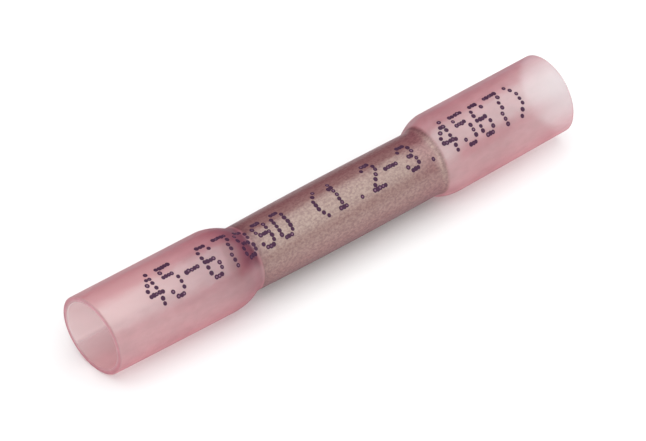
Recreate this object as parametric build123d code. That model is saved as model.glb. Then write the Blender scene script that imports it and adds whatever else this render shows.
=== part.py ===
"""Heat shrink butt connector for thin wires, 37 mm long.

A tinned copper barrel takes one stripped wire end from each side, up to a stop at its middle.
A clear pink sleeve of shrink tubing, with a layer of hot-melt adhesive on its inside, grips the
barrel and stays wide at both ends, where the wires' insulation goes in.

All sizes are in millimetres. X runs along the connector, Z is up, and the origin is on the axis,
half way between the two mouths. The outlines are drawn in the XZ plane, with Z as the radius,
and turned about X.
"""

from build123d import *
import math
import os

# Sleeve and lining, as they are at the open mouths
OVERALL_LENGTH = 37.0
SLEEVE_DIAMETER = 5.5
SLEEVE_WALL = 0.25
LINING_WALL = 0.17
MOUTH_EDGE_CHAMFER = 0.05

# Barrel
BARREL_LENGTH = 15.0
BARREL_DIAMETER = 3.4
BORE_DIAMETER = 1.7
BARREL_SHIFT = 1.0
BARREL_EDGE_CHAMFER = 0.15
LEAD_IN_CHAMFER = 0.25

# Wire stop, pressed up from the underside of the barrel
STOP_HEIGHT = 0.95
STOP_METAL = 0.6
PUNCH_DIAMETER = 0.8
PUNCH_DRAFT_DEG = 5.0
BORE_PINCH = 0.12

# Where the sleeve grips the barrel, and how it opens out from there
GRIP_PAST_LEFT_END = 0.25
GRIP_SHORT_OF_RIGHT_END = 1.25
LEFT_SHOULDER_LENGTH = 2.6
RIGHT_SHOULDER_LENGTH = 2.2
FOOT_ARC_SHARE = 0.22

# Flat spot underneath each open end, where the soft tube rests
FLAT_SPOT_DEPTH = 0.045

# Sizes that follow from those above
mouth_x = OVERALL_LENGTH / 2
barrel_radius = BARREL_DIAMETER / 2
bore_radius = BORE_DIAMETER / 2
barrel_left_x = BARREL_SHIFT - BARREL_LENGTH / 2
barrel_right_x = BARREL_SHIFT + BARREL_LENGTH / 2
grip_left_x = barrel_left_x - GRIP_PAST_LEFT_END
grip_right_x = barrel_right_x - GRIP_SHORT_OF_RIGHT_END

punch_radius = PUNCH_DIAMETER / 2
stop_radius = punch_radius + STOP_METAL
stop_top_z = STOP_HEIGHT - bore_radius

sleeve_radius = SLEEVE_DIAMETER / 2
seam_radius = sleeve_radius - SLEEVE_WALL
mouth_bore_radius = seam_radius - LINING_WALL


def shrunk_radius(core_radius, outer_radius, inner_radius):
    """Outer radius of a layer once it has shrunk on to a core, with the section it had before."""
    return math.sqrt(core_radius**2 + outer_radius**2 - inner_radius**2)


grip_seam_radius = shrunk_radius(barrel_radius, seam_radius, mouth_bore_radius)
grip_sleeve_radius = shrunk_radius(grip_seam_radius, sleeve_radius, seam_radius)


def shoulder(grip_x, direction, length, grip_radius, open_radius):
    """The two tangent arcs of one shoulder, from the grip outwards: a short foot, then a long roll."""
    rise = open_radius - grip_radius
    radii_sum = (length**2 / rise + rise) / 2
    foot_radius = FOOT_ARC_SHARE * radii_sum
    roll_radius = radii_sum - foot_radius
    lean = math.asin(length / radii_sum)
    half = lean / 2
    roll_x = grip_x + direction * length

    def foot_point(angle):
        return (
            grip_x + direction * foot_radius * math.sin(angle),
            grip_radius + foot_radius * (1 - math.cos(angle)),
        )

    def roll_point(angle):
        return (
            roll_x - direction * roll_radius * math.sin(angle),
            open_radius - roll_radius * (1 - math.cos(angle)),
        )

    foot = ThreePointArc(foot_point(0), foot_point(half), foot_point(lean))
    roll = ThreePointArc(roll_point(lean), roll_point(half), roll_point(0))
    return [foot, roll]


def layer_surface(grip_radius, open_radius):
    """One surface of the tubing as a half outline, from mouth to mouth."""
    left_roll_x = grip_left_x - LEFT_SHOULDER_LENGTH
    right_roll_x = grip_right_x + RIGHT_SHOULDER_LENGTH
    return [
        Line((-mouth_x, open_radius), (left_roll_x, open_radius)),
        *shoulder(grip_left_x, -1, LEFT_SHOULDER_LENGTH, grip_radius, open_radius),
        Line((grip_left_x, grip_radius), (grip_right_x, grip_radius)),
        *shoulder(grip_right_x, 1, RIGHT_SHOULDER_LENGTH, grip_radius, open_radius),
        Line((right_roll_x, open_radius), (mouth_x, open_radius)),
    ]


def tube_layer(outer, inner, outer_open_radius, inner_open_radius):
    """The layer between two surfaces, turned about the connector's axis."""
    ends = [
        Line((x, inner_open_radius), (x, outer_open_radius)) for x in (-mouth_x, mouth_x)
    ]
    return revolve(Plane.XZ * make_face([*outer, *inner, *ends]), Axis.X)


def mouth_edges(layer, radius):
    """The two circles where a layer's surface of this radius meets the cut ends."""
    return [
        edge
        for edge in layer.edges().filter_by(GeomType.CIRCLE)
        if abs(edge.radius - radius) < 1e-6
        and abs(abs(edge.arc_center.X) - mouth_x) < 1e-6
    ]


def make_sleeve(outer, seam):
    """Shrink sleeve, with the outer edges of its cut ends just broken and a flat spot below."""
    layer = tube_layer(outer, seam, sleeve_radius, seam_radius)
    layer = chamfer(mouth_edges(layer, sleeve_radius), MOUTH_EDGE_CHAMFER)
    rest_z = FLAT_SPOT_DEPTH - sleeve_radius
    return split(layer, Plane.XY.offset(rest_z), keep=Keep.TOP)


def make_lining(seam, inside):
    """Hot-melt adhesive on the sleeve's inside, with the inner edges of its cut ends just broken."""
    layer = tube_layer(seam, inside, seam_radius, mouth_bore_radius)
    return chamfer(mouth_edges(layer, mouth_bore_radius), MOUTH_EDGE_CHAMFER)


def make_barrel_tube():
    """Copper tube with a lead-in at each end, its bore drawn in a little all round the stop."""
    stop_left_x = BARREL_SHIFT - stop_radius
    stop_right_x = BARREL_SHIFT + stop_radius
    lead_in_radius = bore_radius + LEAD_IN_CHAMFER
    wall = make_face(
        [
            Polyline(
                (stop_left_x, bore_radius),
                (barrel_left_x + LEAD_IN_CHAMFER, bore_radius),
                (barrel_left_x, lead_in_radius),
                (barrel_left_x, barrel_radius),
                (barrel_right_x, barrel_radius),
                (barrel_right_x, lead_in_radius),
                (barrel_right_x - LEAD_IN_CHAMFER, bore_radius),
                (stop_right_x, bore_radius),
            ),
            ThreePointArc(
                (stop_right_x, bore_radius),
                (BARREL_SHIFT, bore_radius - BORE_PINCH),
                (stop_left_x, bore_radius),
            ),
        ]
    )
    tube = revolve(Plane.XZ * wall, Axis.X)
    rims = [
        edge
        for edge in tube.edges().filter_by(GeomType.CIRCLE)
        if abs(edge.radius - barrel_radius) < 1e-6
    ]
    return chamfer(rims, BARREL_EDGE_CHAMFER)


def upright_pin(tip_z, radius, draft_deg, foot_z):
    """A round-nosed pin that stands on foot_z and points up to tip_z, wider towards its foot."""
    nose_z = tip_z - radius
    foot_radius = radius + (nose_z - foot_z) * math.tan(math.radians(draft_deg))
    nose_middle = (radius * math.sin(math.pi / 4), nose_z + radius * math.cos(math.pi / 4))
    half = make_face(
        [
            Line((0, foot_z), (foot_radius, foot_z)),
            Line((foot_radius, foot_z), (radius, nose_z)),
            ThreePointArc((radius, nose_z), nose_middle, (0, tip_z)),
            Line((0, tip_z), (0, foot_z)),
        ]
    )
    return Pos(BARREL_SHIFT, 0, 0) * revolve(Plane.XZ * half, Axis.Z)


def make_barrel():
    """Crimp barrel: the tube, with the stop's bulge inside its bore and the punch's dent below."""
    bulge = upright_pin(stop_top_z, stop_radius, PUNCH_DRAFT_DEG, -barrel_radius)
    trim_radius = (bore_radius + barrel_radius) / 2
    trim = Pos(BARREL_SHIFT, 0, 0) * Rot(0, 90, 0) * Cylinder(trim_radius, BARREL_LENGTH)
    punch = upright_pin(
        stop_top_z - STOP_METAL, punch_radius, PUNCH_DRAFT_DEG, -2 * barrel_radius
    )
    return make_barrel_tube() + (bulge & trim) - punch


def main():
    """Builds the three pieces and writes one STEP file for each."""
    outer = layer_surface(grip_sleeve_radius, sleeve_radius)
    seam = layer_surface(grip_seam_radius, seam_radius)
    inside = layer_surface(barrel_radius, mouth_bore_radius)
    pieces = {
        "heat_shrink_sleeve": make_sleeve(outer, seam),
        "adhesive_lining": make_lining(seam, inside),
        "crimp_barrel": make_barrel(),
    }
    os.makedirs("parts", exist_ok=True)
    for name, piece in pieces.items():
        export_step(piece, f"parts/{name}.step")
        print(name, round(piece.volume, 3), "mm3")


main()
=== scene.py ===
"""Looks of a heat shrink butt connector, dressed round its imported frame.

The connector lies along X on a plain pale floor. A pink sleeve of shrink tubing, lined with clear
adhesive, grips a tinned barrel at its middle and stays wide at both ends. Plain digits are printed
along it in dots of ink. Every length is in metres.
"""

import logging
import math
import random
from collections.abc import Iterable
from dataclasses import dataclass, field
from enum import Enum

import bmesh
import bpy
from mathutils import Matrix, Vector


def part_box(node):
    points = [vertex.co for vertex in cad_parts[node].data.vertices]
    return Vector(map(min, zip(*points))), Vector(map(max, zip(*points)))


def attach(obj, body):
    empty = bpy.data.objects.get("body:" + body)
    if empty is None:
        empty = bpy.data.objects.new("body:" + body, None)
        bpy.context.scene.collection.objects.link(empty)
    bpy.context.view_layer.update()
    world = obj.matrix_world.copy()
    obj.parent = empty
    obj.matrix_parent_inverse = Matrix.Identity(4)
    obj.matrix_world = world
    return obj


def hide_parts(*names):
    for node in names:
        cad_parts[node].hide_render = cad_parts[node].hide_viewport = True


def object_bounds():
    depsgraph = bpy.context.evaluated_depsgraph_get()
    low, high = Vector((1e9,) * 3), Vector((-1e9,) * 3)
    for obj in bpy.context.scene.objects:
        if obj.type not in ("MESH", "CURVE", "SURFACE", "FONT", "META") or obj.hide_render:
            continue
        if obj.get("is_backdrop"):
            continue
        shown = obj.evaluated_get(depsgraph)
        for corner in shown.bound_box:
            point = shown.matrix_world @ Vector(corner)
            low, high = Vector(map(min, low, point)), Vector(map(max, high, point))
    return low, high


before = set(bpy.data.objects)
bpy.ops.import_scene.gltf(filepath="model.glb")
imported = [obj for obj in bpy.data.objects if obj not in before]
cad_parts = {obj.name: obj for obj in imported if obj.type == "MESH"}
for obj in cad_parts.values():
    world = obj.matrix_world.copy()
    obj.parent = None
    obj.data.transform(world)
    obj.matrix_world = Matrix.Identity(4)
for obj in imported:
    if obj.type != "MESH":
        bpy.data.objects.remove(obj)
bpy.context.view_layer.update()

LOG = logging.getLogger("connector")
MM = 0.001
BODY = "root"
PICTURE_WIDTH_PX = 646
SENSOR_WIDTH_MM = 36.0
FLOOR_GAP = 0.015 * MM
MERGE = 0.0005 * MM
RIM = "rim"
PALE = "pale"

Colour = tuple[float, float, float]
Stops = Iterable[tuple[float, Colour]]
Value = bpy.types.NodeSocket | Colour | Vector | float
WHITE = (1.0, 1.0, 1.0)


class Layer(Enum):
    """The surfaces of the tubing, from the outside in."""

    OUTER = "outer"
    SEAM = "seam"
    INNER = "inner"


class Side(Enum):
    """The two ends of the connector, by the sign of X."""

    LEFT = -1
    RIGHT = 1


@dataclass(frozen=True)
class Shoulder:
    """One place where the tubing opens out from its grip on the barrel to a wide end.

    Attributes:
        side: The end that it opens towards.
        start_x: Where the grip ends.
        grip_radius: Outer radius at the grip's end.
        top_radius: Outer radius just past the shoulder.
        mouth_radius: Outer radius at the open mouth.
        foot_radius: Radius of the hollow arc next to the grip.
        roll_radius: Radius of the full arc that follows it.
        tail_rise: The last bit of the rise, spread thinly over the tail.
        tail_length: How quickly the tail dies away.
        step: How far the wide end sits to the back of the barrel's axis.
        lean: Further sideways shift for each metre towards the mouth.
        cut_lean: How much further the cut goes along X for each metre across the tube.
    """

    side: Side
    start_x: float
    grip_radius: float
    top_radius: float
    mouth_radius: float
    foot_radius: float
    roll_radius: float
    tail_rise: float
    tail_length: float
    step: float
    lean: float
    cut_lean: float

    @property
    def rise(self) -> float:
        """Height that the two arcs climb between them."""
        return self.top_radius - self.tail_rise - self.grip_radius

    @property
    def slope(self) -> float:
        """Steepest angle of the shoulder, where the arcs meet."""
        return math.acos(1 - self.rise / (self.foot_radius + self.roll_radius))

    @property
    def length(self) -> float:
        """Length of the two arcs along X."""
        return (self.foot_radius + self.roll_radius) * math.sin(self.slope)

    def past(self, x: float) -> float:
        """Distance of x beyond the grip's end, negative inside the grip."""
        return self.side.value * (x - self.start_x)

    def radius(self, x: float, mouth_x: float) -> float:
        """Outer radius of the tubing at x, beyond the grip.

        Args:
            x: Place along the axis.
            mouth_x: Distance of the mouth from the origin.

        Returns:
            The radius of the sleeve's outer surface.
        """
        run = self.past(x)
        foot_length = self.foot_radius * math.sin(self.slope)
        if run < foot_length:
            climbed = self.foot_radius - math.sqrt(self.foot_radius**2 - run**2)
        elif run < self.length:
            left = self.length - run
            climbed = self.rise - self.roll_radius + math.sqrt(self.roll_radius**2 - left**2)
        else:
            climbed = self.rise
        tail = self.tail_rise * (1 - math.exp(-run / self.tail_length))
        open_length = mouth_x - abs(self.start_x) - self.length
        taper = (self.top_radius - self.mouth_radius) * max(0.0, run - self.length) / open_length
        return self.grip_radius + climbed + tail - taper

    def sideways(self, x: float) -> float:
        """How far the tubing's centre lies to the back of the barrel's axis.

        Args:
            x: Place along the axis.

        Returns:
            The sideways shift at x.
        """
        run = self.past(x)
        if run <= 0:
            return 0.0
        eased = min(1.0, run / self.length)
        eased = eased * eased * (3 - 2 * eased)
        return self.step * eased + self.lean * max(0.0, run - self.length)


@dataclass(frozen=True)
class TubeForm:
    """The form that the shrunk tubing has taken round its barrel.

    Attributes:
        mouth_x: Distance of each mouth from the origin.
        barrel_radius: Outer radius of the barrel in the grip.
        barrel_left: Place of the barrel's left end.
        barrel_right: Place of its right end.
        belly_x: Where the gripped part is widest.
        belly_radius: Outer radius there.
        rest_z: Height of the flat spot that the tube rests on.
        left: The left shoulder.
        right: The right shoulder.
        sleeve_share: The sleeve's share of the whole wall.
        open_wall: Whole wall at the open ends.
        film: Small clearance between touching surfaces.
        cut_towards: Direction across the tube, down to the front, in which the left cut leans.
        cut_reach: Length of tube over which the lean of its cut is spread.
        coarse: Distance between two points of the outline.
        fine: The same about the shoulders.
        fine_reach: How far past a shoulder the points stay close together.
    """

    mouth_x: float
    barrel_radius: float
    barrel_left: float
    barrel_right: float
    belly_x: float
    belly_radius: float
    rest_z: float
    left: Shoulder
    right: Shoulder
    sleeve_share: float = 0.6
    open_wall: float = 0.42 * MM
    film: float = 0.004 * MM
    cut_towards: Vector = field(default_factory=lambda: Vector((0.0, -0.738, -0.674)))
    cut_reach: float = 4.0 * MM
    coarse: float = 0.6 * MM
    fine: float = 0.09 * MM
    fine_reach: float = 1.2 * MM

    def shoulder(self, x: float) -> Shoulder | None:
        """Finds the shoulder whose side a place lies on.

        Args:
            x: Place along the axis.

        Returns:
            The shoulder, or None within the grip.
        """
        for shoulder in (self.left, self.right):
            if shoulder.past(x) > 0:
                return shoulder
        return None

    def grip_radius(self, x: float) -> float:
        """Outer radius within the grip, a little fuller at its middle.

        Args:
            x: Place along the axis.

        Returns:
            The radius at x.
        """
        end = self.left if x < self.belly_x else self.right
        share = (x - self.belly_x) / (end.start_x - self.belly_x)
        return self.belly_radius - (self.belly_radius - end.grip_radius) * share * share

    def outer_radius(self, x: float) -> float:
        """Radius of the sleeve's outer surface.

        Args:
            x: Place along the axis.

        Returns:
            The radius at x.
        """
        shoulder = self.shoulder(x)
        if shoulder is None:
            return self.grip_radius(x)
        return shoulder.radius(x, self.mouth_x)

    def wall(self, x: float) -> float:
        """Whole wall at x, thicker where the tubing has shrunk further."""
        return self.open_wall / (self.outer_radius(x) / self.right.top_radius)

    def radius(self, x: float, layer: Layer) -> float:
        """Radius of one of the tubing's surfaces at x.

        Args:
            x: Place along the axis.
            layer: Which surface.

        Returns:
            The surface's radius.
        """
        outer = self.outer_radius(x)
        inner = max(outer - self.wall(x), self.barrel_radius + self.film)
        if layer is Layer.OUTER:
            return outer
        if layer is Layer.INNER:
            return inner
        return outer - (outer - inner) * self.sleeve_share

    def settle(self, point: Vector) -> Vector:
        """Moves a point of the straight tube to where the real one has bent and been cut.

        Args:
            point: A point of the straight tube.

        Returns:
            The point's place on the finished tube.
        """
        shoulder = self.shoulder(point.x)
        if shoulder is None:
            return point.copy()
        across = point.dot(self.cut_towards)
        near = max(0.0, 1 - (self.mouth_x - abs(point.x)) / self.cut_reach)
        moved = point.copy()
        moved.x += shoulder.cut_lean * across * near
        moved.y += shoulder.sideways(point.x)
        moved.z = max(moved.z, self.rest_z)
        return moved

    def stations(self) -> list[float]:
        """Sets out the points of the tube's outline, close together on the shoulders.

        Returns:
            Their places along X, from left to right.
        """
        reach = self.fine_reach
        x, places = -self.mouth_x, []
        while x < self.mouth_x - self.coarse / 2:
            places.append(x)
            close = any(-reach / 2 < s.past(x) < s.length + reach for s in (self.left, self.right))
            x += self.fine if close else self.coarse
        return [*places, self.mouth_x]


class Shading:
    """A node tree in the making, with short ways to add the usual nodes.

    Attributes:
        nodes: The tree's nodes.
        links: Its links.
    """

    def __init__(self, tree: bpy.types.NodeTree) -> None:
        """Empties a tree and starts on it.

        Args:
            tree: The node tree.
        """
        self.nodes, self.links = tree.nodes, tree.links
        self.nodes.clear()

    def feed(self, socket: bpy.types.NodeSocket, value: Value) -> None:
        """Links an input to another socket, or sets its constant.

        Args:
            socket: The input.
            value: The socket to link it to, or the constant.
        """
        if isinstance(value, bpy.types.NodeSocket):
            self.links.new(value, socket)
        elif socket.type == "RGBA":
            socket.default_value = (*value, 1.0)
        else:
            socket.default_value = value

    def add(
        self,
        kind: str,
        feeds: dict[str | int, Value] | None = None,
        **settings: str | bpy.types.NodeTree,
    ) -> bpy.types.Node:
        """Adds a node.

        Args:
            kind: The node's type.
            feeds: What goes into its inputs.
            **settings: The node's own settings, such as its operation.

        Returns:
            The node.
        """
        node = self.nodes.new(kind)
        for name, setting in settings.items():
            setattr(node, name, setting)
        for name, value in (feeds or {}).items():
            self.feed(node.inputs[name], value)
        return node

    def place(self) -> bpy.types.NodeSocket:
        """Object coordinates."""
        return self.add("ShaderNodeTexCoord").outputs["Object"]

    def along(self) -> bpy.types.NodeSocket:
        """A place's X."""
        return self.add("ShaderNodeSeparateXYZ", {"Vector": self.place()}).outputs["X"]

    def towards(self, direction: Vector) -> bpy.types.NodeSocket:
        """How far a place lies from the origin in a direction."""
        feeds = {0: self.place(), 1: direction}
        return self.add("ShaderNodeVectorMath", feeds, operation="DOT_PRODUCT").outputs["Value"]

    def maths(self, operation: str, *terms: Value) -> bpy.types.NodeSocket:
        """Works out a number.

        Args:
            operation: What to do with the terms.
            *terms: The terms, in order.

        Returns:
            The number's socket.
        """
        feeds = dict(enumerate(terms))
        return self.add("ShaderNodeMath", feeds, operation=operation).outputs["Value"]

    def spread(
        self,
        value: Value,
        start: Value,
        end: Value,
        low: float = 0.0,
        high: float = 1.0,
        smooth: bool = False,
    ) -> bpy.types.NodeSocket:
        """Maps one range of values on to another.

        Args:
            value: The value.
            start: Where its range starts.
            end: Where its range ends.
            low: What the start becomes.
            high: What the end becomes.
            smooth: Whether it eases in and out.

        Returns:
            The new value's socket.
        """
        feeds = {"Value": value, "From Min": start, "From Max": end, "To Min": low, "To Max": high}
        kind = "SMOOTHSTEP" if smooth else "LINEAR"
        return self.add("ShaderNodeMapRange", feeds, interpolation_type=kind).outputs["Result"]

    def ramp(self, value: Value, stops: Stops) -> bpy.types.NodeSocket:
        """Turns a value into a colour.

        Args:
            value: The value.
            stops: Place and colour of each stop, in order.

        Returns:
            The colour's socket.
        """
        node = self.add("ShaderNodeValToRGB", {"Fac": value})
        elements = node.color_ramp.elements
        stops = list(stops)
        while len(elements) < len(stops):
            elements.new(0.5)
        for element, (place, colour) in zip(elements, stops):
            element.position = place
            element.color = (*colour, 1.0)
        return node.outputs["Color"]

    def mixed(
        self, share: Value, first: Value, second: Value, blend: str = "MIX"
    ) -> bpy.types.NodeSocket:
        """Mixes two colours.

        Args:
            share: The share of the second colour.
            first: The first colour.
            second: The second colour.
            blend: How they are mixed.

        Returns:
            The mixed colour's socket.
        """
        feeds = {"Factor": share, "A": first, "B": second}
        node = self.add("ShaderNodeMix", feeds, data_type="RGBA", blend_type=blend)
        return node.outputs["Result"]

    def multiplied(self, first: Value, second: Value) -> bpy.types.NodeSocket:
        """Multiplies two colours."""
        return self.mixed(1.0, first, second, "MULTIPLY")

    def bumped(
        self, layers: Iterable[tuple[bpy.types.NodeSocket, float]]
    ) -> bpy.types.NodeSocket:
        """Turns patterns into a bump, one on top of the other.

        Args:
            layers: Each pattern, with its height in metres, from the widest to the finest.

        Returns:
            The socket of the bumpy surface's normal.
        """
        below = {}
        for pattern, height in layers:
            feeds = {"Strength": 1.0, "Distance": height, "Height": pattern, **below}
            below = {"Normal": self.add("ShaderNodeBump", feeds).outputs["Normal"]}
        return below["Normal"]

    def surface(self, feeds: dict[str, Value]) -> bpy.types.NodeSocket:
        """Adds a Principled surface with these inputs."""
        return self.add("ShaderNodeBsdfPrincipled", feeds).outputs["BSDF"]

    def clear(self, colour: Value = WHITE) -> bpy.types.NodeSocket:
        """Adds a surface that light goes straight through, tinted by a colour."""
        return self.add("ShaderNodeBsdfTransparent", {"Color": colour}).outputs["BSDF"]

    def both(
        self, share: Value, first: bpy.types.NodeSocket, second: bpy.types.NodeSocket
    ) -> bpy.types.NodeSocket:
        """Mixes two surfaces.

        Args:
            share: The share of the second one.
            first: The first surface.
            second: The second surface.

        Returns:
            The mixed surface's socket.
        """
        feeds = {"Fac": share, 1: first, 2: second}
        return self.add("ShaderNodeMixShader", feeds).outputs["Shader"]

    def finish(self, surface: bpy.types.NodeSocket) -> None:
        """Puts a surface out."""
        self.add("ShaderNodeOutputMaterial", {"Surface": surface})


def new_material(name: str) -> tuple[bpy.types.Material, Shading]:
    """Makes an empty material.

    Args:
        name: The material's name.

    Returns:
        The material and its shading, still to be filled.
    """
    material = bpy.data.materials.new(name)
    material.use_nodes = True
    return material, Shading(material.node_tree)


@dataclass(frozen=True)
class Haze:
    """A shared node group: cloudy patches and a fine grain on Object coordinates.

    Attributes:
        name: The group's name.
    """

    name: str = "tube_haze"

    def group(self) -> bpy.types.NodeTree:
        """Builds the group once and finds it after that.

        Returns:
            The group.
        """
        tree = bpy.data.node_groups.get(self.name)
        if tree is not None:
            return tree
        tree = bpy.data.node_groups.new(self.name, "ShaderNodeTree")
        for name, default in (("Cloud Scale", 300.0), ("Grain Scale", 9000.0), ("Stretch", 1.0)):
            socket = tree.interface.new_socket(name, in_out="INPUT", socket_type="NodeSocketFloat")
            socket.default_value = default
        for name in ("Cloud", "Grain"):
            tree.interface.new_socket(name, in_out="OUTPUT", socket_type="NodeSocketFloat")
        work = Shading(tree)
        inside, outside = work.add("NodeGroupInput"), work.add("NodeGroupOutput")
        feeds = {"X": inside.outputs["Stretch"], "Y": 1.0, "Z": 1.0}
        scales = work.add("ShaderNodeCombineXYZ", feeds).outputs["Vector"]
        feeds = {0: work.place(), 1: scales}
        stretched = work.add("ShaderNodeVectorMath", feeds, operation="MULTIPLY")
        for name, detail, rough in (("Cloud", 3.0, 0.55), ("Grain", 4.0, 0.6)):
            feeds = {
                "Vector": stretched.outputs["Vector"],
                "Scale": inside.outputs[f"{name} Scale"],
                "Detail": detail,
                "Roughness": rough,
            }
            noise = work.add("ShaderNodeTexNoise", feeds)
            work.feed(outside.inputs[name], noise.outputs["Fac"])
        return tree

    def put(
        self, work: Shading, cloud: float, grain: float, stretch: float = 1.0
    ) -> bpy.types.NodeOutputs:
        """Puts the group into a material.

        Args:
            work: The material's shading.
            cloud: Scale of the cloudy patches, per metre.
            grain: Scale of the fine grain, per metre.
            stretch: Scale along X, under 1 for patches drawn out along the tube.

        Returns:
            The group's outputs, Cloud and Grain.
        """
        feeds = {"Cloud Scale": cloud, "Grain Scale": grain, "Stretch": stretch}
        return work.add("ShaderNodeGroup", feeds, node_tree=self.group()).outputs


@dataclass(frozen=True)
class WallZones:
    """The zones in which the tubing's wall looks different, as masks from 0 to 1.

    Attributes:
        form: The tubing's form.
        far: Where the zone of painted light starts and is full, inwards from the right mouth.
        back: The same for the painted light inside the left mouth.
        back_depth: How far to the back of the axis that zone is full.
        low_depth: How far to the front and down from the axis the low side is full.
        left_fade: Where the barrel starts to show and is full, outwards from its left end.
        right_fade: The same, inwards from its right end.
        narrowing: Where it starts to look narrower than the tube, inwards from the grip's end.
        narrowest: Where it looks narrowest, inwards from its right end.
        width: How far it shows to the sides there, as a share.
        soft_side: How softly it fades out at the sides.
        left_shade: Painted shade about its left end, by distance from it in millimetres: a dark
            band for its end face, which lies in shade, seen through the wall.
        right_shade: The same about its right end, with a painted highlight line and a dark line
            at its edge.
        shade_end: Where that painted shade ends, outwards from the right end.
        low_relief: How much fainter the painted shade is on the low side.
    """

    form: TubeForm
    far: tuple[float, float] = (4.0 * MM, 0.6 * MM)
    back: tuple[float, float] = (7.0 * MM, 4.0 * MM)
    back_depth: float = 0.45 * MM
    low_depth: float = 1.3 * MM
    left_fade: tuple[float, float] = (0.42 * MM, 0.28 * MM)
    right_fade: tuple[float, float] = (0.38 * MM, 0.66 * MM)
    narrowing: float = 0.2 * MM
    narrowest: float = 0.4 * MM
    width: float = 0.42
    soft_side: float = 0.12
    # Painted shade: a dark band for the barrel's left end face, which lies in shade, seen through
    # the wall.
    left_shade: tuple[tuple[float, Colour], ...] = (
        (-5.5, WHITE),
        (-3.4, (0.96, 0.91, 0.92)),
        (-2.4, (0.75, 0.62, 0.66)),
        (-1.34, (0.44, 0.36, 0.48)),
        (-0.9, (0.35, 0.29, 0.40)),
        (-0.56, (0.36, 0.30, 0.41)),
        (-0.46, (0.86, 0.72, 0.80)),
        (-0.36, (0.86, 0.72, 0.80)),
        (-0.26, (0.74, 0.62, 0.70)),
        (0.5, WHITE),
    )
    # Painted shade at the right end, with a painted highlight line beside a dark line at its edge.
    right_shade: tuple[tuple[float, Colour], ...] = (
        (-3.2, WHITE),
        (-1.6, (0.93, 0.78, 0.86)),
        (-0.92, (0.88, 0.70, 0.79)),
        (-0.84, (1.0, 0.92, 0.96)),
        (-0.76, (0.95, 0.84, 0.89)),
        (-0.66, (0.76, 0.64, 0.70)),
        (-0.54, (0.80, 0.68, 0.74)),
        (-0.42, WHITE),
    )
    shade_end: float = 0.4 * MM
    low_relief: float = 0.6

    def far_end(self, work: Shading) -> bpy.types.NodeSocket:
        """How near a place lies to the right mouth."""
        start, full = (self.form.mouth_x - reach for reach in self.far)
        return work.spread(work.along(), start, full, smooth=True)

    def back_side(self, work: Shading) -> bpy.types.NodeSocket:
        """Whether a place lies near the left mouth on the half that faces away from the front.

        Args:
            work: The material's shading.

        Returns:
            The share's socket.
        """
        start, full = (reach - self.form.mouth_x for reach in self.back)
        across = work.towards(self.form.cut_towards)
        behind = work.spread(across, 0.0, -self.back_depth, smooth=True)
        return work.maths("MULTIPLY", behind, work.spread(work.along(), start, full, smooth=True))

    def low_side(self, work: Shading, most: float) -> bpy.types.NodeSocket:
        """How far a place lies on the side that faces down to the front.

        Args:
            work: The material's shading.
            most: The share that is reached there.

        Returns:
            The share's socket.
        """
        across = work.towards(self.form.cut_towards)
        return work.spread(across, 0.0, self.low_depth, 0.0, most, smooth=True)

    def gripped(self, work: Shading, facing: bpy.types.NodeSocket) -> bpy.types.NodeSocket:
        """How far a place lies over the barrel.

        Where the tube has opened out, the barrel is narrower than the tube, so it shows less far
        to the sides.

        Args:
            work: The material's shading.
            facing: How far a place is turned away from the camera.

        Returns:
            The share's socket.
        """
        x, left, right = work.along(), self.form.barrel_left, self.form.barrel_right
        start, full = (left - reach for reach in self.left_fade)
        after_left = work.spread(x, start, full, smooth=True)
        start, full = (right - reach for reach in self.right_fade)
        before_right = work.spread(x, start, full, smooth=True)
        start, full = self.form.right.start_x - self.narrowing, right - self.narrowest
        side = work.spread(x, start, full, 1.0, self.width)
        beyond = work.maths("ADD", side, self.soft_side)
        inside = work.spread(facing, beyond, side, smooth=True)
        return work.maths("MULTIPLY", work.maths("MULTIPLY", after_left, before_right), inside)

    def painted_end_shade(self, work: Shading) -> bpy.types.NodeSocket:
        """Shading where the barrel's ends show: a dusky band, and a fine line at the very edge.

        It is painted shade, with a painted highlight line at the right end, and it is fainter on
        the side that faces down to the front.

        Args:
            work: The material's shading.

        Returns:
            The socket of a colour to multiply by, white away from the ends.
        """
        left, right = self.form.barrel_left, self.form.barrel_right
        stops = [(left + x * MM, colour) for x, colour in self.left_shade]
        stops += [(right + x * MM, colour) for x, colour in self.right_shade]
        low, high = stops[0][0], right + self.shade_end
        along = work.spread(work.along(), low, high)
        shade = work.ramp(along, (((x - low) / (high - low), colour) for x, colour in stops))
        return work.mixed(self.low_side(work, self.low_relief), shade, WHITE)


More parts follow.
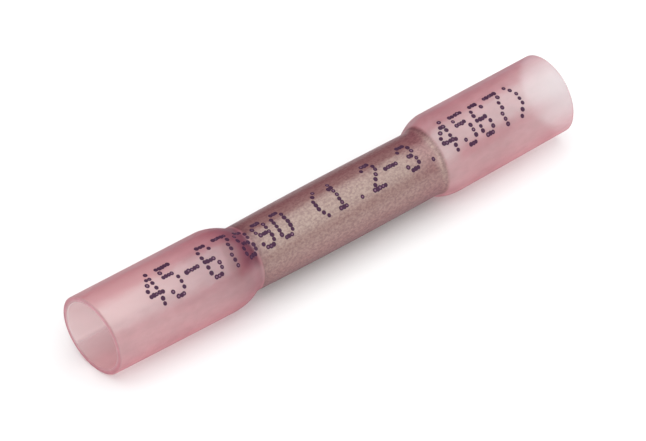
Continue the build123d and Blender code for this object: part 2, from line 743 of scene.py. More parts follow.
@dataclass(frozen=True)
class BarrelShowing:
    """How the barrel shows at the sleeve's surface, spread wide by the clear wall round it.

    Attributes:
        bright: Colour of the clean tin through the wall.
        dull: Colour of its duller specks through the wall.
        wall: Colour of the wall itself, darkened as painted shade where no light comes through it
        from below.
        share: The metal's share of the look.
        roughness: The metal's roughness.
        dimmed: How much less of the skin's gloss is seen over the metal.
        dimmed_end: How much less of it is seen at the right mouth.
        slant: Stops of the tint that a slanting view through more of the wall adds there.
        edge: Stops of painted shade towards the upper outline, where there is air inside: the
            top of the tube darker where less light falls on it.
        top_shade_relief: How much fainter that painted shade is on the low side.
    """

    bright: Colour
    dull: Colour
    wall: Colour
    share: float
    roughness: float
    dimmed: float
    dimmed_end: float
    slant: tuple[tuple[float, Colour], ...]
    edge: tuple[tuple[float, Colour], ...]
    top_shade_relief: float = 0.9

    def open_tint_and_painted_shade(
        self,
        work: Shading,
        zones: WallZones,
        facing: bpy.types.NodeSocket,
        ends: bpy.types.NodeSocket,
        tint: bpy.types.NodeSocket,
    ) -> bpy.types.NodeSocket:
        """Colour of the wall where there is air inside.

        Args:
            work: The material's shading.
            zones: The wall's zones.
            facing: How far a place is turned away from the camera.
            ends: The painted shade at the barrel's ends.
            tint: The wall's own colour, with the painted light at the mouths.

        Returns:
            The colour's socket.
        """
        # Painted shade towards the upper outline, spared on the low side and where the ends are
        # shaded.
        spared = work.maths(
            "MAXIMUM", zones.low_side(work, self.top_shade_relief), work.maths("SUBTRACT", 1.0, ends)
        )
        edge = work.mixed(spared, work.ramp(facing, self.edge), WHITE)
        return work.multiplied(ends, work.multiplied(edge, tint))

    def metal(
        self,
        work: Shading,
        grain: bpy.types.NodeSocket,
        ends: bpy.types.NodeSocket,
        normal: bpy.types.NodeSocket,
    ) -> bpy.types.NodeSocket:
        """The barrel's tin, as it looks through the wall.

        Args:
            work: The material's shading.
            grain: The fine grain.
            ends: The painted shade at the barrel's ends.
            normal: The bumpy surface's normal.

        Returns:
            The surface's socket.
        """
        specks = work.ramp(grain, ((0.36, self.dull), (0.64, self.bright)))
        return work.surface(
            {
                "Base Color": work.multiplied(ends, specks),
                "Metallic": 1.0,
                "Roughness": self.roughness,
                "Normal": normal,
            }
        )


@dataclass(frozen=True)
class ClearPlastic:
    """A hazy see-through plastic wall, drawn at one surface.

    Attributes:
        name: The material's name.
        deep: Colour of its denser patches.
        pale: Colour of its paler patches.
        glow: Colour of the light that it passes on diffusely.
        filter: Colour of what is seen straight through it.
        clear_open: Share seen straight through where there is air inside.
        clear_grip: The same where it lies wet on the barrel.
        clear_end: What is added to it at the very end of the right side.
        painted_light_end: Colour of the wall there, paler as painted light where light comes in
        through the mouth.
        painted_light_back: Colour of the wall inside the left mouth on the back half, paler as
        painted light.
        hazy_back: How much less shows straight through it there.
        clear_slant: What is left of it where the wall is seen at a slant.
        lets_through: Share of the light that gets through the wall, straight or scattered.
        glowing: Share of the rest that passes light on diffusely.
        roughness: Roughness of the body.
        gloss: Share mirrored by the skin, looking straight at it.
        gloss_slant: The same at a slant.
        gloss_roughness: Roughness of that skin.
        grain: Height of the fine grain.
        waves: Height of the low waves that the shrinking has left.
        dimples: Height of the shallow dimples between them.
        hollow_shade: Colour of the painted shade by which the dimples' hollows darken the body.
        skin: Colour of the light that the skin mirrors.
        patchy: Values of the haze between which the patches go from dense to pale.
        hollow: Values of the dimples between which they go from shaded to clean.
        straight_on: Facing values between which the painted light at the end stops being seen
            straight on.
        painted_light_slant: What is left of that painted light at a slant.
        slanting: Facing values between which the view through the wall becomes a slanting one.
        skin_power: How late the skin's gloss changes towards the slant.
        showing: How the barrel shows at this surface, or None if it doesn't.
    """

    name: str
    deep: Colour
    pale: Colour
    glow: Colour
    filter: Colour
    clear_open: float
    clear_grip: float
    clear_end: float
    painted_light_end: Colour
    painted_light_back: Colour
    hazy_back: float
    clear_slant: float
    lets_through: float
    glowing: float
    roughness: float
    gloss: float
    gloss_slant: float
    gloss_roughness: float
    grain: float
    waves: float
    dimples: float
    hollow_shade: Colour
    skin: Colour = (0.6, 1.0, 0.92)
    patchy: tuple[float, float] = (0.34, 0.68)
    hollow: tuple[float, float] = (0.34, 0.62)
    straight_on: tuple[float, float] = (0.08, 0.5)
    painted_light_slant: float = 0.25
    slanting: tuple[float, float] = (0.12, 0.75)
    skin_power: float = 4.0
    showing: BarrelShowing | None = None

    def build(self, form: TubeForm) -> bpy.types.Material:
        """Makes the material.

        Args:
            form: The tubing's form, for the places of the barrel and the mouths.

        Returns:
            The finished material.
        """
        material, work = new_material(self.name)
        haze = Haze().put(work, cloud=420.0, grain=7000.0, stretch=0.7)
        dimpled = Haze().put(work, cloud=2400.0, grain=5000.0, stretch=0.45)["Cloud"]
        layers = (haze["Cloud"], self.waves), (dimpled, self.dimples), (haze["Grain"], self.grain)
        normal = work.bumped(layers)
        facing = work.add("ShaderNodeLayerWeight", {"Blend": 0.5}).outputs["Facing"]
        zones = WallZones(form)
        gripped, far = zones.gripped(work, facing), zones.far_end(work)
        back = zones.back_side(work)

        patches = work.ramp(haze["Cloud"], zip(self.patchy, (self.deep, self.pale)))
        # Painted shade in the dimples' hollows.
        dimple_shading = work.ramp(dimpled, zip(self.hollow, (self.hollow_shade, WHITE)))
        straight_on = work.spread(facing, *self.straight_on, 1.0, self.painted_light_slant)
        # Painted light: the wall is paler towards the right mouth.
        painted_light = work.maths("MULTIPLY", far, straight_on)
        base = work.mixed(painted_light, work.multiplied(patches, dimple_shading), self.painted_light_end)
        # Painted light: paler on the back half inside the left mouth.
        base = work.mixed(back, base, self.painted_light_back)
        seen = self.filter
        mirrored = self.mirrored(work, facing, gripped, far)
        if self.showing is not None:
            # Painted shade about the barrel's ends darkens the wall, what is seen through it and
            # its gloss.
            ends = zones.painted_end_shade(work)
            seen = work.multiplied(ends, self.filter)
            mirrored = work.maths("MULTIPLY", mirrored, ends)
            base = self.showing.open_tint_and_painted_shade(work, zones, facing, ends, base)
            ends = work.multiplied(ends, work.ramp(facing, self.showing.slant))
            # Over the barrel the wall takes its darker colour, partly painted shade.
            base = work.mixed(gripped, base, work.multiplied(ends, self.showing.wall))

        feeds = {"Roughness": self.roughness, "Specular IOR Level": 0.2, "Normal": normal}
        body = work.surface({"Base Color": base, **feeds})
        feeds = {"Color": self.glow, "Normal": normal}
        passed_on = work.add("ShaderNodeBsdfTranslucent", feeds).outputs["BSDF"]
        hazy = work.both(work.spread(gripped, 0.0, 1.0, self.glowing, 0.0), body, passed_on)
        if self.showing is not None:
            metal = self.showing.metal(work, haze["Grain"], ends, normal)
            hazy = work.both(work.maths("MULTIPLY", gripped, self.showing.share), hazy, metal)
        clearness = self.clearness(work, facing, gripped, far, back)
        wall = work.both(clearness, hazy, work.clear(seen))
        feeds = {"Metallic": 1.0, "Roughness": self.gloss_roughness, "Normal": normal}
        work.finish(work.both(mirrored, wall, work.surface({"Base Color": self.skin, **feeds})))
        return material

    def mirrored(
        self,
        work: Shading,
        facing: bpy.types.NodeSocket,
        gripped: bpy.types.NodeSocket,
        far: bpy.types.NodeSocket,
    ) -> bpy.types.NodeSocket:
        """Share of the light that the skin mirrors, another one at a slant.

        Args:
            work: The material's shading.
            facing: How far a place is turned away from the camera.
            gripped: How far it lies over the barrel.
            far: How near it lies to the right mouth.

        Returns:
            The share's socket.
        """
        steep = work.maths("POWER", facing, self.skin_power)
        seen = work.spread(steep, 0.0, 1.0, self.gloss, self.gloss_slant)
        if self.showing is not None:
            for zone, dimmed in ((gripped, self.showing.dimmed), (far, self.showing.dimmed_end)):
                kept = work.spread(zone, 0.0, 1.0, 1.0, 1.0 - dimmed)
                seen = work.maths("MULTIPLY", seen, kept)
        return seen

    def clearness(
        self,
        work: Shading,
        facing: bpy.types.NodeSocket,
        gripped: bpy.types.NodeSocket,
        far: bpy.types.NodeSocket,
        back: bpy.types.NodeSocket,
    ) -> bpy.types.NodeSocket:
        """How much shows straight through the wall, less where it is seen at a slant.

        Args:
            work: The material's shading.
            facing: How far a place is turned away from the camera.
            gripped: How far it lies over the barrel.
            far: How near it lies to the right mouth.
            back: How far it lies on the back half at the left mouth.

        Returns:
            The share's socket.
        """
        share = work.spread(gripped, 0.0, 1.0, self.clear_open, self.clear_grip)
        share = work.maths("MULTIPLY_ADD", far, self.clear_end, share)
        share = work.maths("MULTIPLY_ADD", back, -self.hazy_back, share)
        slant = work.spread(facing, *self.slanting, 1.0, self.clear_slant)
        share = work.maths("MULTIPLY", share, slant)
        shadow = work.add("ShaderNodeLightPath").outputs["Is Shadow Ray"]
        return work.maths("MAXIMUM", share, work.maths("MULTIPLY", shadow, self.lets_through))


@dataclass(frozen=True)
class CutEdge:
    """The fresh cut at a tube's end, seen along its wall.

    Attributes:
        name: The material's name.
        colour: Colour of the cut.
        clear: Share seen straight through it at the left end.
        clear_right: The same at the right end.
        shade: Share of the colour that is left in its darker patches.
        grain: Height of its grain.
    """

    name: str
    colour: Colour
    clear: float
    clear_right: float
    shade: float = 0.82
    grain: float = 0.007 * MM

    def build(self) -> bpy.types.Material:
        """Makes the material.

        Returns:
            The material.
        """
        material, work = new_material(self.name)
        haze = Haze().put(work, cloud=2500.0, grain=14000.0)
        darker = tuple(self.shade * c for c in self.colour)
        colour = work.ramp(haze["Cloud"], ((0.3, darker), (0.75, self.colour)))
        normal = work.bumped([(haze["Grain"], self.grain)])
        body = work.surface({"Base Color": colour, "Roughness": 0.42, "Normal": normal})
        share = work.spread(work.along(), -MM, MM, self.clear, self.clear_right)
        work.finish(work.both(share, body, work.clear()))
        return material


@dataclass(frozen=True)
class BondedFace:
    """The face where sleeve and lining are joined, which can't be seen in the real tubing.

    Attributes:
        name: The material's name.
    """

    name: str = "bonded_face"

    def build(self) -> bpy.types.Material:
        """Makes the material once and finds it after that.

        Returns:
            The material.
        """
        material = bpy.data.materials.get(self.name)
        if material is None:
            material, work = new_material(self.name)
            work.finish(work.clear())
        return material


@dataclass(frozen=True)
class TinnedMetal:
    """Matt tin over copper, speckled where the coat is thin or dull.

    Attributes:
        name: The material's name.
        bright: Colour of the clean tin.
        dull: Colour of its duller specks.
        roughness: Middle roughness.
        uneven: How far the roughness goes from there.
        patch: Colour by which wide patches of it are darker.
        grain: Height of its grain.
    """

    name: str
    bright: Colour
    dull: Colour
    roughness: float
    uneven: float = 0.07
    patch: Colour = (0.86, 0.86, 0.86)
    grain: float = 0.015 * MM

    def build(self) -> bpy.types.Material:
        """Makes the material.

        Returns:
            The material.
        """
        material, work = new_material(self.name)
        haze = Haze().put(work, cloud=900.0, grain=5200.0, stretch=0.75)
        specks = work.ramp(haze["Grain"], ((0.38, self.dull), (0.62, self.bright)))
        patches = work.ramp(haze["Cloud"], ((0.3, self.patch), (0.7, WHITE)))
        rough, smooth = self.roughness + self.uneven, self.roughness - self.uneven
        feeds = {
            "Base Color": work.multiplied(specks, patches),
            "Metallic": 1.0,
            "Roughness": work.spread(haze["Grain"], 0.3, 0.7, rough, smooth),
            "Normal": work.bumped([(haze["Grain"], self.grain)]),
        }
        work.finish(work.surface(feeds))
        return material


@dataclass(frozen=True)
class PrintInk:
    """Dark ink that has dried thicker round the edge of each dot.

    Attributes:
        name: The material's name.
        dark: Colour of the thick ink.
        thin: Colour of the thin middle of a pale dot.
        middle: Where that middle starts and is full, from 1 at the rim to 0 at the centre.
    """

    name: str
    dark: Colour
    thin: Colour
    middle: tuple[float, float] = (0.62, 0.2)

    def build(self) -> bpy.types.Material:
        """Makes the material.

        Returns:
            The material.
        """
        material, work = new_material(self.name)
        rim, pale = (
            work.add("ShaderNodeAttribute", attribute_name=name).outputs["Fac"]
            for name in (RIM, PALE)
        )
        share = work.maths("MULTIPLY", work.spread(rim, *self.middle, smooth=True), pale)
        colour = work.ramp(share, ((0.0, self.dark), (1.0, self.thin)))
        feeds = {"Base Color": colour, "Roughness": 0.5, "Specular IOR Level": 0.15}
        work.finish(work.surface(feeds))
        return material


@dataclass(frozen=True)
class StudioPaper:
    """The plain pale floor.

    Attributes:
        name: The material's name.
        colour: Its colour.
        shade: Share of the colour that is left in its darker patches.
    """

    name: str = "studio_paper"
    colour: Colour = (0.92, 0.92, 0.92)
    shade: float = 0.985

    def build(self) -> bpy.types.Material:
        """Makes the material.

        Returns:
            The material.
        """
        material, work = new_material(self.name)
        cloud = Haze().put(work, cloud=60.0, grain=1500.0)["Cloud"]
        darker = tuple(self.shade * c for c in self.colour)
        colour = work.ramp(cloud, ((0.2, darker), (0.8, self.colour)))
        feeds = {"Base Color": colour, "Roughness": 0.9, "Specular IOR Level": 0.1}
        work.finish(work.surface(feeds))
        return material


def as_object(
    name: str, shape: bmesh.types.BMesh, materials: Iterable[bpy.types.Material]
) -> bpy.types.Object:
    """Turns a finished shape into an object at the origin.

    Args:
        name: The object's name.
        shape: The shape, in the row's frame. It is freed.
        materials: The object's materials, in the order of the faces' indices.

    Returns:
        The object.
    """
    mesh = bpy.data.meshes.new(name)
    shape.to_mesh(mesh)
    shape.free()
    for material in materials:
        mesh.materials.append(material)
    made = bpy.data.objects.new(name, mesh)
    bpy.context.scene.collection.objects.link(made)
    return made


def finish_piece(
    name: str, shape: bmesh.types.BMesh, materials: Iterable[bpy.types.Material]
) -> bpy.types.Object:
    """Turns a finished shape into an object that rides on the body.

    Args:
        name: The object's name.
        shape: The shape, in the row's frame. It is freed.
        materials: The object's materials, in the order of the faces' indices.

    Returns:
        The object.
    """
    piece = as_object(name, shape, materials)
    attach(piece, BODY)
    return piece


def soften(shape: bmesh.types.BMesh, crease: float) -> None:
    """Shades a shape smooth, but for its sharp edges.

    Args:
        shape: The shape.
        crease: Faces that meet at more than this angle keep a sharp edge.
    """
    for face in shape.faces:
        face.smooth = True
    for edge in shape.edges:
        edge.smooth = edge.calc_face_angle(0.0) < crease


def report(piece: bpy.types.Object) -> None:
    """Logs a piece's name and face count."""
    LOG.info("%s: %d faces", piece.name, len(piece.data.polygons))


@dataclass
class Tubing:
    """The shrink sleeve and the adhesive layer inside it.

    Attributes:
        form: The form that both have taken.
        around: Number of faces round the tube.
        broken_edge: Size of the worn edge at each cut.
        crease: Faces that meet at more than this angle keep a sharp edge.
        cut_limit: A face that looks away from the axis by less than this share belongs to a cut.
    """

    form: TubeForm
    around: int = 144
    broken_edge: float = 0.05 * MM
    crease: float = math.radians(35)
    cut_limit: float = 0.55

    def outline(self, outside: Layer, inside: Layer) -> list[Vector]:
        """Half section of the layer between two surfaces, as a closed loop.

        Args:
            outside: The layer's outer surface.
            inside: The layer's inner surface.

        Returns:
            The loop's points in the XZ plane.
        """
        gap = self.form.film if inside is Layer.SEAM else 0.0
        there = [Vector((x, 0.0, self.form.radius(x, outside))) for x in self.form.stations()]
        back = [Vector((x, 0.0, self.form.radius(x, inside) + gap)) for x in self.form.stations()]
        back.reverse()
        worn, lift = (there, -1.0) if outside is Layer.OUTER else (back, 1.0)
        for end in (0, -1):
            corner = worn[end].copy()
            worn[end].x -= math.copysign(self.broken_edge, corner.x)
            corner.z += lift * self.broken_edge
            worn.insert(0 if end == 0 else len(worn), corner)
        return there + back

    def turned(self, outside: Layer, inside: Layer) -> bmesh.types.BMesh:
        """Turns a half section about the axis, then bends it as the tubing has bent.

        Args:
            outside: The layer's outer surface.
            inside: The layer's inner surface.

        Returns:
            The solid layer. Its faces have index 0 on the surface that shows, 1 on the cuts and
            2 on the face that is bonded to the other layer.
        """
        shape = bmesh.new()
        corners = [shape.verts.new(point) for point in self.outline(outside, inside)]
        edges = [shape.edges.new(pair) for pair in zip(corners, corners[1:] + corners[:1])]
        bmesh.ops.spin(
            shape,
            geom=corners + edges,
            cent=(0.0, 0.0, 0.0),
            axis=(1.0, 0.0, 0.0),
            angle=math.tau,
            steps=self.around,
            use_merge=True,
        )
        bmesh.ops.remove_doubles(shape, verts=shape.verts, dist=MERGE)
        bmesh.ops.recalc_face_normals(shape, faces=shape.faces)
        for face in shape.faces:
            middle = face.calc_center_median()
            outwards = face.normal.dot(Vector((0.0, middle.y, middle.z)).normalized())
            if abs(outwards) < self.cut_limit:
                face.material_index = 1
            elif (outwards > 0) == (outside is Layer.OUTER):
                face.material_index = 0
            else:
                face.material_index = 2
        soften(shape, self.crease)
        for corner in shape.verts:
            corner.co = self.form.settle(corner.co)
        return shape

    def make(self) -> tuple[bpy.types.Object, bpy.types.Object]:
        """Builds and dresses the sleeve and the lining.

        Returns:
            The two pieces.
        """
        bonded = BondedFace().build()
        sleeve = finish_piece(
            "shrink_sleeve",
            self.turned(Layer.OUTER, Layer.SEAM),
            (SLEEVE_WALL.build(self.form), SLEEVE_CUT.build(), bonded),
        )
        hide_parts("heat_shrink_sleeve")
        lining = finish_piece(
            "adhesive_layer",
            self.turned(Layer.SEAM, Layer.INNER),
            (LINING_WALL.build(self.form), LINING_CUT.build(), bonded),
        )
        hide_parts("adhesive_lining")
        return sleeve, lining


@dataclass
class Barrel:
    """The tinned crimp barrel, with the shape of its CAD solid.

    Attributes:
        node: The CAD node that it stands for.
        crease: Faces that meet at more than this angle keep a sharp edge.
    """

    node: str = "crimp_barrel"
    crease: float = math.radians(28)

    def make(self) -> bpy.types.Object:
        """Builds and dresses the barrel.

        Returns:
            The piece.
        """
        shape = bmesh.new()
        shape.from_mesh(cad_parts[self.node].data)
        bmesh.ops.remove_doubles(shape, verts=shape.verts, dist=MERGE)
        for face in shape.faces:
            face.material_index = 0
        soften(shape, self.crease)
        barrel = finish_piece("tinned_barrel", shape, (BARREL_TIN.build(),))
        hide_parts(self.node)
        return barrel


GLYPHS = {
    "0": (" ### ", "#   #", "#   #", "#   #", "#   #", "#   #", " ### "),
    "1": ("  #  ", " ##  ", "  #  ", "  #  ", "  #  ", "  #  ", " ### "),
    "2": (" ### ", "#   #", "    #", "   # ", "  #  ", " #   ", "#####"),
    "3": (" ### ", "#   #", "    #", "  ## ", "    #", "#   #", " ### "),
    "4": ("   # ", "  ## ", " # # ", "#  # ", "#####", "   # ", "   # "),
    "5": ("#####", "#    ", "#### ", "    #", "    #", "#   #", " ### "),
    "6": (" ### ", "#   #", "#    ", "#### ", "#   #", "#   #", " ### "),
    "7": ("#####", "    #", "   # ", "   # ", "  #  ", "  #  ", "  #  "),
    "8": (" ### ", "#   #", "#   #", " ### ", "#   #", "#   #", " ### "),
    "9": (" ### ", "#   #", "#   #", " ####", "    #", "#   #", " ### "),
    "-": ("     ", "     ", "     ", "#####", "     ", "     ", "     "),
    ".": ("     ", "     ", "     ", "     ", "     ", "     ", "  #  "),
    "(": ("   # ", "  #  ", " #   ", " #   ", " #   ", "  #  ", "   # "),
    ")": (" #   ", "  #  ", "   # ", "   # ", "   # ", "  #  ", " #   "),
    " ": ("     ",) * 7,
}


@dataclass
class DotPrint:
    """A row of plain digits, printed in small dots of ink.

    Attributes:
        form: The tubing that it is printed on.
        text: The characters, from left to right.
        first_x: Middle of the first character.
        pitch: Distance from one character to the next.
        column: Distance between two columns of dots.
        top_angle: Angle of the top row, from straight up towards the front.
        row_angle: Angle between two rows.
        grip_turn: How far the print has turned to the front in the grip.
        right_turn: The same at the right end.
        dot_radius: Radius of a dot.
        ink: Height that the ink stands proud.
        sunk: How deep a dot starts under the surface.
        sides: Number of sides of a dot.
        top_share: Radius of a dot's top, as a share of its radius.
        spread: Largest chance shift of a dot, as a share of its radius.
        sizes: Smallest and largest radius of a dot, as shares.
        heights: Lowest and greatest height of the ink, as shares.
        seed: Start of the chance shifts.
    """

    form: TubeForm
    text: str = "45-67890 (1.2-3.4567)"
    first_x: float = -14.62 * MM
    pitch: float = 1.465 * MM
    column: float = 0.215 * MM
    top_angle: float = math.radians(2.4)
    row_angle: float = math.radians(7.75)
    grip_turn: float = math.radians(-3.5)
    right_turn: float = math.radians(4.0)
    dot_radius: float = 0.155 * MM
    ink: float = 0.009 * MM
    sunk: float = 0.004 * MM
    sides: int = 12
    top_share: float = 0.86
    spread: float = 0.16
    sizes: tuple[float, float] = (0.9, 1.1)
    heights: tuple[float, float] = (0.85, 1.15)
    seed: int = 7

    def turned(self, x: float) -> float:
        """How far the print has turned to the front, with the tubing as it shrank.

        Args:
            x: Place along the axis.

        Returns:
            The turn at x.
        """
        left, right = (
            min(1.0, max(0.0, shoulder.past(x) / shoulder.length))
            for shoulder in (self.form.left, self.form.right)
        )
        return self.grip_turn * (1 - left - right) + self.right_turn * right

    def placed(self, x: float, angle: float, turn: float) -> Matrix:
        """Where a dot lies on the sleeve.

        Args:
            x: The dot's place along the axis.
            angle: Its angle from straight up towards the front.
            turn: How far it is turned in its own plane.

        Returns:
            The matrix that takes a flat dot to its place.
        """
        step = 0.01 * MM
        radius = self.form.outer_radius(x)
        slope = (self.form.outer_radius(x + step) - self.form.outer_radius(x - step)) / (2 * step)
        out = Vector((0.0, -math.sin(angle), math.cos(angle)))
        along = Vector((1.0, 0.0, 0.0)) + slope * out
        along.normalize()
        normal = (out - slope * Vector((1.0, 0.0, 0.0))).normalized()
        across = normal.cross(along)
        spot = self.form.settle(Vector((x, 0.0, 0.0)) + radius * out)
        axes = Matrix((along, across, normal)).transposed().to_4x4()
        return Matrix.Translation(spot) @ axes @ Matrix.Rotation(turn, 4, "Z")

    def add_dot(
        self, shape: bmesh.types.BMesh, chance: random.Random, x: float, angle: float
    ) -> None:
        """Adds one dot of ink.

        Args:
            shape: The print's mesh so far.
            chance: Where the chance shifts come from.
            x: The dot's place along the axis.
            angle: Its angle from straight up towards the front.
        """
        rim, pale = shape.verts.layers.float[RIM], shape.verts.layers.float[PALE]
        x += chance.uniform(-self.spread, self.spread) * self.dot_radius
        angle += chance.uniform(-self.spread, self.spread) * self.row_angle / 2
        size = self.dot_radius * chance.uniform(*self.sizes)
        height = (self.ink + self.sunk) * chance.uniform(*self.heights)
        paleness = max(0.0, chance.uniform(-1.0, 1.0))
        made = bmesh.ops.create_cone(
            shape,
            cap_ends=True,
            cap_tris=False,
            segments=self.sides,
            radius1=size,
            radius2=self.top_share * size,
            depth=height,
        )["verts"]
        bmesh.ops.translate(shape, verts=made, vec=(0.0, 0.0, height / 2 - self.sunk))
        top = max({f for v in made for f in v.link_faces}, key=lambda f: f.calc_center_median().z)
        centre = bmesh.ops.poke(shape, faces=[top])["verts"]
        for corners, at_rim in ((made, 1.0), (centre, 0.0)):
            for corner in corners:
                corner[rim], corner[pale] = at_rim, paleness
        turn = chance.uniform(0.0, math.tau)
        bmesh.ops.transform(shape, verts=made + centre, matrix=self.placed(x, angle, turn))

    def make(self) -> bpy.types.Object:
        """Prints the characters.

        Returns:
            The piece.
        """
        chance = random.Random(self.seed)
        shape = bmesh.new()
        for name in (RIM, PALE):
            shape.verts.layers.float.new(name)
        for place, character in enumerate(self.text):
            middle_x = self.first_x + place * self.pitch
            for row, cells in enumerate(GLYPHS[character]):
                for column, cell in enumerate(cells):
                    if cell == "#":
                        x = middle_x + (column - len(cells) // 2) * self.column
                        angle = self.top_angle + row * self.row_angle + self.turned(x)
                        self.add_dot(shape, chance, x, angle)
        bmesh.ops.recalc_face_normals(shape, faces=shape.faces)
        return finish_piece("ink_dots", shape, (INK.build(),))


@dataclass(frozen=True)
class Panel:
    """A flat rectangular light.

    Attributes:
        name: The light's name.
        middle: Its middle.
        width: Its size along X.
        depth: Its size the other way.
        radiance: How bright its face is.
        tilt: Its turn about X from facing straight down.
        mirrored: Whether glossy surfaces mirror it.
    """

    name: str
    middle: tuple[float, float, float]
    width: float
    depth: float
    radiance: float
    tilt: float = 0.0
    mirrored: bool = True

    def hang(self) -> None:
        """Adds the light."""
        data = bpy.data.lights.new(self.name, "AREA")
        data.shape = "RECTANGLE"
        data.size, data.size_y = self.width, self.depth
        data.energy = self.radiance * math.pi * self.width * self.depth
        light = bpy.data.objects.new(self.name, data)
        light.location = self.middle
        light.rotation_euler.x = self.tilt
        light.visible_glossy = self.mirrored
        bpy.context.scene.collection.objects.link(light)


@dataclass
class Studio:
    """Floor, lights and camera.

    Attributes:
        azimuth: The camera's bearing from the front, towards the right.
        elevation: Its height over the horizon, as an angle.
        distance: Its distance from the point that it looks at.
        nearest: The nearest that it sees.
        pixels_per_mm: Scale of the picture at that distance.
        origin_right_px: Where the connector's origin lies, right of the picture's middle.
        origin_up_px: Where it lies above the middle.
        surround: Brightness of the room.
        floor_size: Side of the floor.
        see_through: Number of clear surfaces that a ray may pass.
    """

    azimuth: float = math.radians(-39.5)
    elevation: float = math.radians(40.2)
    distance: float = 0.35
    nearest: float = 0.05
    pixels_per_mm: float = 15.945
    origin_right_px: float = 4.6
    origin_up_px: float = 6.9
    surround: float = 0.13
    floor_size: float = 0.9
    see_through: int = 48

    def camera(self) -> None:
        """Places the camera at the photograph's viewing angle."""
        back = Vector(
            (
                math.sin(self.azimuth) * math.cos(self.elevation),
                -math.cos(self.azimuth) * math.cos(self.elevation),
                math.sin(self.elevation),
            )
        )
        right = Vector((math.cos(self.azimuth), math.sin(self.azimuth), 0.0))
        up = back.cross(right)
        per_px = MM / self.pixels_per_mm
        target = -right * self.origin_right_px * per_px - up * self.origin_up_px * per_px
        data = bpy.data.cameras.new("camera")
        data.sensor_width = SENSOR_WIDTH_MM
        focal_px = self.pixels_per_mm / MM * self.distance
        data.lens = SENSOR_WIDTH_MM * focal_px / PICTURE_WIDTH_PX
        data.clip_start = self.nearest
        camera = bpy.data.objects.new("camera", data)
        axes = Matrix((right, up, back)).transposed().to_4x4()
        camera.matrix_world = Matrix.Translation(target + back * self.distance) @ axes
        bpy.context.scene.collection.objects.link(camera)
        bpy.context.scene.camera = camera

    def lights(self) -> None:
        """Hangs the lights and lights the room."""
        for panel in LIGHTS:
            panel.hang()
        world = bpy.data.worlds.new("room")
        world.use_nodes = True
        room = world.node_tree.nodes["Background"]
        room.inputs["Color"].default_value = (*WHITE, 1.0)
        room.inputs["Strength"].default_value = self.surround
        bpy.context.scene.world = world

    def floor(self, height: float) -> None:
        """Lays the floor.

        Args:
            height: Height of its top, where the connector rests.
        """
        shape = bmesh.new()
        bmesh.ops.create_grid(shape, x_segments=1, y_segments=1, size=self.floor_size / 2)
        bmesh.ops.translate(shape, verts=shape.verts, vec=(0.0, 0.0, height))
        floor = as_object("floor", shape, (StudioPaper().build(),))
        floor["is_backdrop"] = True

    def set_up(self, floor_height: float) -> None:
        """Sets up the whole studio.

        Args:
            floor_height: Height of the floor.
        """
        self.camera()
        self.lights()
        self.floor(floor_height)
        scene = bpy.context.scene
        scene.view_settings.view_transform = "Standard"
        scene.cycles.transparent_max_bounces = self.see_through


LIGHTS = (
    Panel(name="softbox", middle=(0.0, -0.215, 0.25), width=0.6, depth=0.61, radiance=1.65),
    # A dim ceiling behind the softbox. Glossy surfaces don't mirror it.
    Panel(
        name="ceiling",
        middle=(0.0, 0.27, 0.25),
        width=0.6,
        depth=0.36,
        radiance=0.2,
        mirrored=False,
    ),
    # This one gives the softbox's back edge a fall-off.
    Panel(name="wash", middle=(0.0, 0.19, 0.25), width=0.6, depth=0.2, radiance=1.35),
    Panel(
        name="front_fill",
        middle=(-0.06, -0.45, 0.13),
        width=0.6,
        depth=0.25,
        radiance=1.0,
        tilt=math.radians(74),
    ),
)
SLEEVE_WALL = ClearPlastic(
    name="pink_sleeve_wall",
    deep=(0.54, 0.148, 0.196),
    pale=(0.68, 0.236, 0.284),
    glow=(0.88, 0.38, 0.42),
    filter=(0.90, 0.87, 0.88),
    clear_open=0.5,
    clear_grip=0.10,
    clear_end=0.15,
    # Painted light towards the right mouth.
    painted_light_end=(0.50, 0.43, 0.44),
    # Painted light on the back half inside the left mouth.
    painted_light_back=(0.65, 0.222, 0.258),
    hazy_back=0.0,
    clear_slant=0.3,
    lets_through=0.8,
    glowing=0.25,
    roughness=0.5,
    gloss=0.13,
    gloss_slant=0.10,
    gloss_roughness=0.28,
    grain=0.014 * MM,
    waves=0.05 * MM,
    dimples=0.016 * MM,
    # Painted shade in the dimples' hollows.
    hollow_shade=(0.88, 0.80, 0.83),
    showing=BarrelShowing(
        bright=(0.585, 0.515, 0.41),
        dull=(0.26, 0.215, 0.17),
        # Darkened as painted shade, where no light comes through from below.
        wall=(0.30, 0.112, 0.12),
        share=0.40,
        roughness=0.4,
        dimmed=0.6,
        dimmed_end=0.85,
        slant=(
            (0.1, WHITE),
            (0.3, (0.93, 0.80, 0.85)),
            (0.5, (0.85, 0.63, 0.71)),
            (0.75, (0.72, 0.52, 0.63)),
        ),
        # Painted shade towards the upper outline.
        edge=(
            (0.22, WHITE),
            (0.36, (0.94, 1.00, 1.00)),
            (0.45, (0.86, 0.91, 0.89)),
            (0.57, (0.77, 0.80, 0.82)),
            (0.75, (0.60, 0.63, 0.70)),
        ),
    ),
)
SLEEVE_CUT = CutEdge(
    name="pink_sleeve_cut", colour=(0.58, 0.21, 0.26), clear=0.2, clear_right=0.8
)
LINING_WALL = ClearPlastic(
    name="clear_lining_wall",
    deep=(0.84, 0.62, 0.63),
    pale=(0.92, 0.74, 0.75),
    glow=(0.96, 0.82, 0.83),
    filter=(0.98, 0.96, 0.96),
    clear_open=0.8,
    clear_grip=0.97,
    clear_end=0.08,
    # Painted light towards the right mouth.
    painted_light_end=(0.70, 0.66, 0.66),
    # Painted light on the back half inside the left mouth.
    painted_light_back=(0.96, 0.93, 0.92),
    hazy_back=0.35,
    clear_slant=0.95,
    lets_through=0.95,
    glowing=0.6,
    roughness=0.4,
    gloss=0.06,
    gloss_slant=0.1,
    gloss_roughness=0.2,
    grain=0.002 * MM,
    waves=0.03 * MM,
    dimples=0.004 * MM,
    # Painted shade in the dimples' hollows.
    hollow_shade=(0.96, 0.94, 0.94),
)
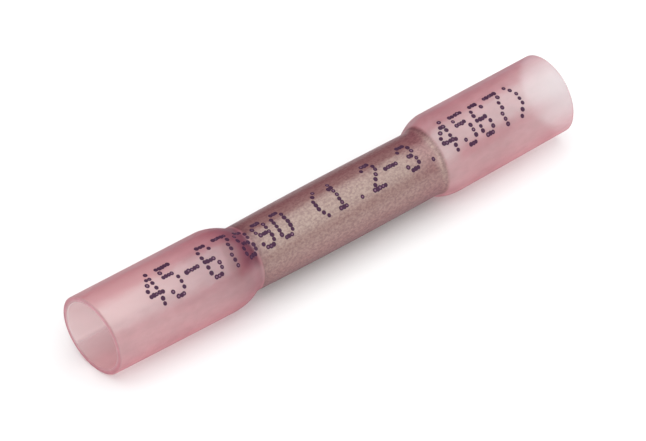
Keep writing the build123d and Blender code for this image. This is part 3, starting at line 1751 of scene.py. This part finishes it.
LINING_CUT = CutEdge(
    name="clear_lining_cut", colour=(0.70, 0.36, 0.40), clear=0.35, clear_right=0.85
)
BARREL_TIN = TinnedMetal(
    name="matt_tin", bright=(0.74, 0.68, 0.60), dull=(0.42, 0.37, 0.32), roughness=0.5
)
INK = PrintInk(name="print_ink", dark=(0.056, 0.020, 0.048), thin=(0.24, 0.13, 0.19))


def tube_form() -> TubeForm:
    """The tubing's form, worked out from the frame and from what the photograph shows.

    Returns:
        The form.
    """
    sleeve_low, sleeve_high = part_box("heat_shrink_sleeve")
    barrel_low, barrel_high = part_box("crimp_barrel")
    mouth_radius = sleeve_high.z
    left = Shoulder(
        side=Side.LEFT,
        start_x=barrel_low.x - 0.4 * MM,
        grip_radius=2.18 * MM,
        top_radius=mouth_radius + 0.02 * MM,
        mouth_radius=mouth_radius - 0.03 * MM,
        foot_radius=1.0 * MM,
        roll_radius=3.6 * MM,
        tail_rise=0.05 * MM,
        tail_length=1.6 * MM,
        step=0.09 * MM,
        lean=0.0135,
        cut_lean=0.066,
    )
    right = Shoulder(
        side=Side.RIGHT,
        start_x=barrel_high.x - 1.15 * MM,
        grip_radius=2.22 * MM,
        top_radius=mouth_radius,
        mouth_radius=mouth_radius - 0.05 * MM,
        foot_radius=0.9 * MM,
        roll_radius=3.3 * MM,
        tail_rise=0.01 * MM,
        tail_length=1.0 * MM,
        step=0.15 * MM,
        lean=0.017,
        cut_lean=0.0,
    )
    return TubeForm(
        mouth_x=sleeve_high.x,
        barrel_radius=barrel_high.z,
        barrel_left=barrel_low.x,
        barrel_right=barrel_high.x,
        belly_x=1.0 * MM,
        belly_radius=2.262 * MM,
        rest_z=sleeve_low.z,
        left=left,
        right=right,
    )


def main() -> None:
    """Builds and dresses every piece, then sets up the studio round them."""
    logging.basicConfig(level=logging.INFO, format="%(name)s %(message)s")
    form = tube_form()
    for piece in (*Tubing(form).make(), Barrel().make(), DotPrint(form).make()):
        report(piece)
    low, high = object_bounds()
    Studio().set_up(low.z - FLOOR_GAP)


if __name__ == "__main__":
    main()
